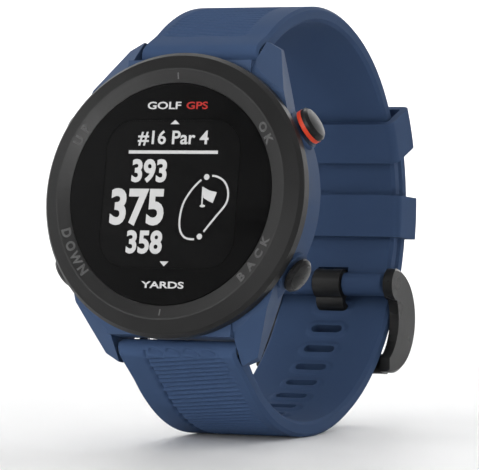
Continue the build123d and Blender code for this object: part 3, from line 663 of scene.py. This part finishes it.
def lens_line(name, points, width, material, closed=False):
    """A line of even width printed on the lens."""
    bm = bmesh.new()
    count = len(points)
    rows = []
    for i, (u, v) in enumerate(points):
        before = points[(i - 1) % count] if closed or i > 0 else points[i]
        after = points[(i + 1) % count] if closed or i < count - 1 else points[i]
        side = Vector((before[1] - after[1], after[0] - before[0])).normalized() * width / 2
        rows.append([bm.verts.new(on_lens(u + side.x * s, v + side.y * s, w)) for s, w in
                     ((-1, 0), (-1, 1), (1, 1), (1, 0))])
    pairs = list(zip(rows, rows[1:])) + ([(rows[-1], rows[0])] if closed else [])
    for one, two in pairs:
        for i in range(4):
            bm.faces.new((one[i], two[i], two[(i + 1) % 4], one[(i + 1) % 4]))
    if not closed:
        bm.faces.new(rows[0])
        bm.faces.new(rows[-1][::-1])
    new_object(name, bm, material, smooth_shade=False)


def rounded_square(half, corner, steps=10):
    outline = []
    for quarter in range(4):
        middle = math.radians(45 + 90 * quarter)
        cx = math.copysign(half - corner, math.cos(middle))
        cy = math.copysign(half - corner, math.sin(middle))
        for i in range(steps + 1):
            angle = math.radians(90 * quarter + 90 * i / steps)
            outline.append((cx + corner * math.cos(angle), cy + corner * math.sin(angle)))
    return outline


def smooth_loop(points, steps=6):
    """A closed, evenly bent curve through points."""
    count = len(points)
    curve = []
    for i in range(count):
        p = [Vector(points[(i + k) % count]) for k in (-1, 0, 1, 2)]
        for step in range(steps):
            t = step / steps
            level = 2 * p[1] + (p[2] - p[0]) * t
            bend = (2 * p[0] - 5 * p[1] + 4 * p[2] - p[3]) * t**2 + (3 * p[1] - p[0] - 3 * p[2] + p[3]) * t**3
            curve.append(tuple(0.5 * (level + bend)))
    return curve


# the display window and the words round it
lens_shape("display_area", rounded_square(WINDOW_HALF, WINDOW_CORNER), M_WINDOW, WINDOW_FRONT)
lens_line("display_edge", rounded_square(WINDOW_HALF, WINDOW_CORNER), 0.16, M_WINDOW_LINE, closed=True)
lens_words("title_golf", "GOLF", -4.9, 0.8, 12.95, 14.1, M_PRINT, 0.02)
lens_words("title_gps", "GPS", 1.7, 5.3, 12.95, 14.1, M_PRINT_RED, 0.02)
lens_words("distance_unit", "YARDS", -3.6, 3.6, -14.4, -13.35, M_PRINT, 0.025)

# the hole's number, the three distances and the arrows
lens_words("hole_and_par", "#16 Par 4", -6.1, 5.85, 7.35, 9.7, M_PRINT, 0.018)
lens_words("reading_far", "393", -6.7, -0.75, 1.65, 5.3, M_PRINT, 0.035)
lens_words("reading_middle", "375", -9.9, -0.75, -4.95, 0.8, M_PRINT, 0.035)
lens_words("reading_near", "358", -6.7, -0.6, -9.2, -5.6, M_PRINT, 0.035)
lens_shape("underline", [(-7.5, 6.12), (7.6, 6.12), (7.6, 6.62), (-7.5, 6.62)], M_PRINT)
lens_shape("arrow_up", [(-0.75, 10.65), (0.75, 10.65), (0, 11.35)], M_PRINT)
lens_shape("arrow_down", [(-0.75, -10.3), (0, -11.05), (0.75, -10.3)], M_PRINT)

# the green's outline between its front and back marks, and the flag
FRONT_MARK, BACK_MARK = (5.6, -6.45), (6.05, 2.6)
green = smooth_loop([
    BACK_MARK, (7.45, 2.75), (9.0, 2.0), (9.8, 0.5), (9.65, -1.35), (8.15, -3.3), (6.9, -4.85), FRONT_MARK,
    (4.75, -6.87), (3.2, -6.65), (2.3, -5.6), (2.05, -3.8), (2.45, -1.5), (3.6, 0.5), (5.0, 2.0),
])
MARK_GAP = 0.8
for part, (first, last) in {"right": (BACK_MARK, FRONT_MARK), "left": (FRONT_MARK, BACK_MARK)}.items():
    begin = green.index(min(green, key=lambda point: math.dist(point, first)))
    loop = green[begin:] + green[:begin]
    end = loop.index(min(loop, key=lambda point: math.dist(point, last)))
    run = [point for point in loop[:end] if min(math.dist(point, first), math.dist(point, last)) > MARK_GAP]
    lens_line("green_" + part, run, 0.3, M_PRINT)
for part, (u, v) in {"front": FRONT_MARK, "back": BACK_MARK}.items():
    lens_shape("mark_" + part, [(u + a, v + b) for a, b in circle(0.45, 20)], M_PRINT)
lens_shape("flag", [(5.55, 1.1), (6.7, 0.55), (7.95, 0.3), (7.4, -1.35), (6.55, -1.0), (5.75, -0.55)], M_PRINT)
lens_line("flag_stick", [(5.55, 1.1), (5.6, -1.7)], 0.22, M_PRINT)
lens_shape("flag_foot", [(5.7 + a * 1.5, -1.8 + b * 0.7) for a, b in circle(0.3, 16)], M_PRINT)

# the words engraved on the bezel's inner cone, in a paler grey that is a painted highlight where the engraved
# lines catch light
LEGEND_RADIUS, LEGEND_HEIGHT, LEGEND_PITCH = 18.05, 1.5, 6.9
CONE_TILT = math.atan2(CONE_DEPTH, CONE_OUTER - CONE_INNER)


def on_cone(degrees, tops_outward, radius):
    """Matrix that lays a letter on the inner cone, its top outward or inward."""
    c, s = math.cos(math.radians(degrees)), math.sin(math.radians(degrees))
    lift = math.tan(CONE_TILT)
    up = Vector((c, -lift, s)).normalized() * (1 if tops_outward else -1)
    out = Vector((-c * lift, -1, -s * lift)).normalized()
    side = up.cross(out)
    turned = Matrix((side, up, out)).transposed().to_4x4()
    place = Vector((c * radius, (CONE_OUTER - radius) * lift, s * radius))
    return Matrix.Translation(place) @ turned


def legend(word, middle, tops_outward):
    """A word whose letters stand one by one along the cone."""
    for i, letter in enumerate(word):
        bm = glyphs(letter, outline=0.045)
        x_low, x_high = extent(bm, 0)
        y_low, y_high = extent(bm, 1)
        size = LEGEND_HEIGHT / (y_high - y_low)
        centre = Matrix.Translation((-(x_low + x_high) / 2, -(y_low + y_high) / 2, 0))
        steps = (i - (len(word) - 1) / 2) * LEGEND_PITCH
        angle = middle - steps if tops_outward else middle + steps
        bm.transform(on_cone(angle, tops_outward, LEGEND_RADIUS) @ Matrix.Scale(size, 4) @ centre)
        new_object("legend_%s_%d" % (word.lower(), i + 1), bm, M_ENGRAVE_HIGHLIGHT)


legend("UP", 150, True)
legend("OK", 31, True)
legend("DOWN", -149.5, False)
legend("BACK", -33, False)
# the 12 and 6 ticks, in the same painted-highlight grey
for hour, degrees in (("12", 90), ("6", -90)):
    bm = bmesh.new()
    prism(bm, [(-0.1, -0.5), (0.1, -0.5), (0.1, 0.5), (-0.1, 0.5)], -0.05, 0.03, lambda u, v, w: (u, v, w))
    bm.transform(on_cone(degrees, True, LEGEND_RADIUS))
    new_object("tick_" + hour, bm, M_ENGRAVE_HIGHLIGHT, smooth_shade=False)

soften("upper_keeper", 0.2)
soften("lower_keeper", 0.2)


# ------------------------------------------------------------------ camera, floor and light
VIEW_AZIMUTH, VIEW_ELEVATION = math.radians(26.099), math.radians(1.647)
VIEW_DISTANCE = 600 * MM
VIEW_ASIDE, VIEW_UP = 10.7407 * MM, -6.2802 * MM
LENS_MM = 299.3

back_axis = Vector((
    math.sin(VIEW_AZIMUTH) * math.cos(VIEW_ELEVATION),
    -math.cos(VIEW_AZIMUTH) * math.cos(VIEW_ELEVATION),
    math.sin(VIEW_ELEVATION),
))
right_axis = Vector((math.cos(VIEW_AZIMUTH), math.sin(VIEW_AZIMUTH), 0))
up_axis = back_axis.cross(right_axis)
eye = DIAL_ORIGIN + right_axis * VIEW_ASIDE + up_axis * VIEW_UP + back_axis * VIEW_DISTANCE
camera_data = bpy.data.cameras.new("camera")
camera_data.lens = LENS_MM
camera_data.sensor_width = 36
camera_data.clip_start = 0.01
camera_data.clip_end = 20
camera = bpy.data.objects.new("camera", camera_data)
camera.matrix_world = Matrix.Translation(eye) @ Matrix((right_axis, up_axis, back_axis)).transposed().to_4x4()
bpy.context.collection.objects.link(camera)
bpy.context.scene.camera = camera


def make_studio():
    """A pale floor that rises in a round curve on every side."""
    flat, bend, wall = 1.1, 0.5, 1.0
    profile = [(0.0, 0.0), (0.25, 0.0), (0.6, 0.0), (flat, 0.0)]
    for i in range(1, 13):
        angle = math.radians(90 * i / 12)
        profile.append((flat + bend * math.sin(angle), bend * (1 - math.cos(angle))))
    profile.append((flat + bend, bend + wall))
    steps = 96
    bm = bmesh.new()
    centre = bm.verts.new((0, 0, 0))
    rings = []
    for radius, height in profile[1:]:
        rings.append([bm.verts.new((x, y, height)) for x, y in circle(radius, steps)])
    for i in range(steps):
        bm.faces.new((centre, rings[0][i], rings[0][(i + 1) % steps]))
    for one, two in zip(rings, rings[1:]):
        for i in range(steps):
            bm.faces.new((one[i], two[i], two[(i + 1) % steps], one[(i + 1) % steps]))
    pale = surface("studio_floor", (0.88, 0.88, 0.88), 0.5, bump=0.0, mottle=0.01, sheen=0.5)
    floor = new_object("studio", bm, pale, body=None, transform=Matrix.Identity(4))


def softbox(name, place, size, power, aim=(0, 0, 0.035), shape="RECTANGLE"):
    """A rectangular area light that faces the watch."""
    light = bpy.data.lights.new(name, "AREA")
    light.shape = shape
    light.size, light.size_y = size
    light.energy = power
    lamp = bpy.data.objects.new(name, light)
    lamp.location = place
    lamp.rotation_mode = "QUATERNION"
    lamp.rotation_quaternion = (Vector(aim) - Vector(place)).to_track_quat("-Z", "Y")
    bpy.context.collection.objects.link(lamp)
    return lamp


make_studio()
softbox("top_light", (0.1, 0.1, 1.0), (1.2, 1.2), 1)
softbox("left_light", (-0.86, -1.0, 0.5), (0.6, 0.8), 4)
softbox("right_light", (0.9, -0.75, 0.3), (0.4, 0.8), 1)
softbox("front_light", (-0.1, -1.3, 0.14), (0.9, 0.26), 8)
softbox("back_wall_light", (0.0, 0.9, 1.2), (1.4, 0.6), 17, aim=(-0.3, 1.6, 0.3))
world = bpy.data.worlds.new("studio_air")
world.use_nodes = True
world.node_tree.nodes["Background"].inputs["Color"].default_value = (1, 1, 1, 1)
world.node_tree.nodes["Background"].inputs["Strength"].default_value = 0.40
bpy.context.scene.world = world
bpy.context.scene.view_settings.view_transform = "Standard"
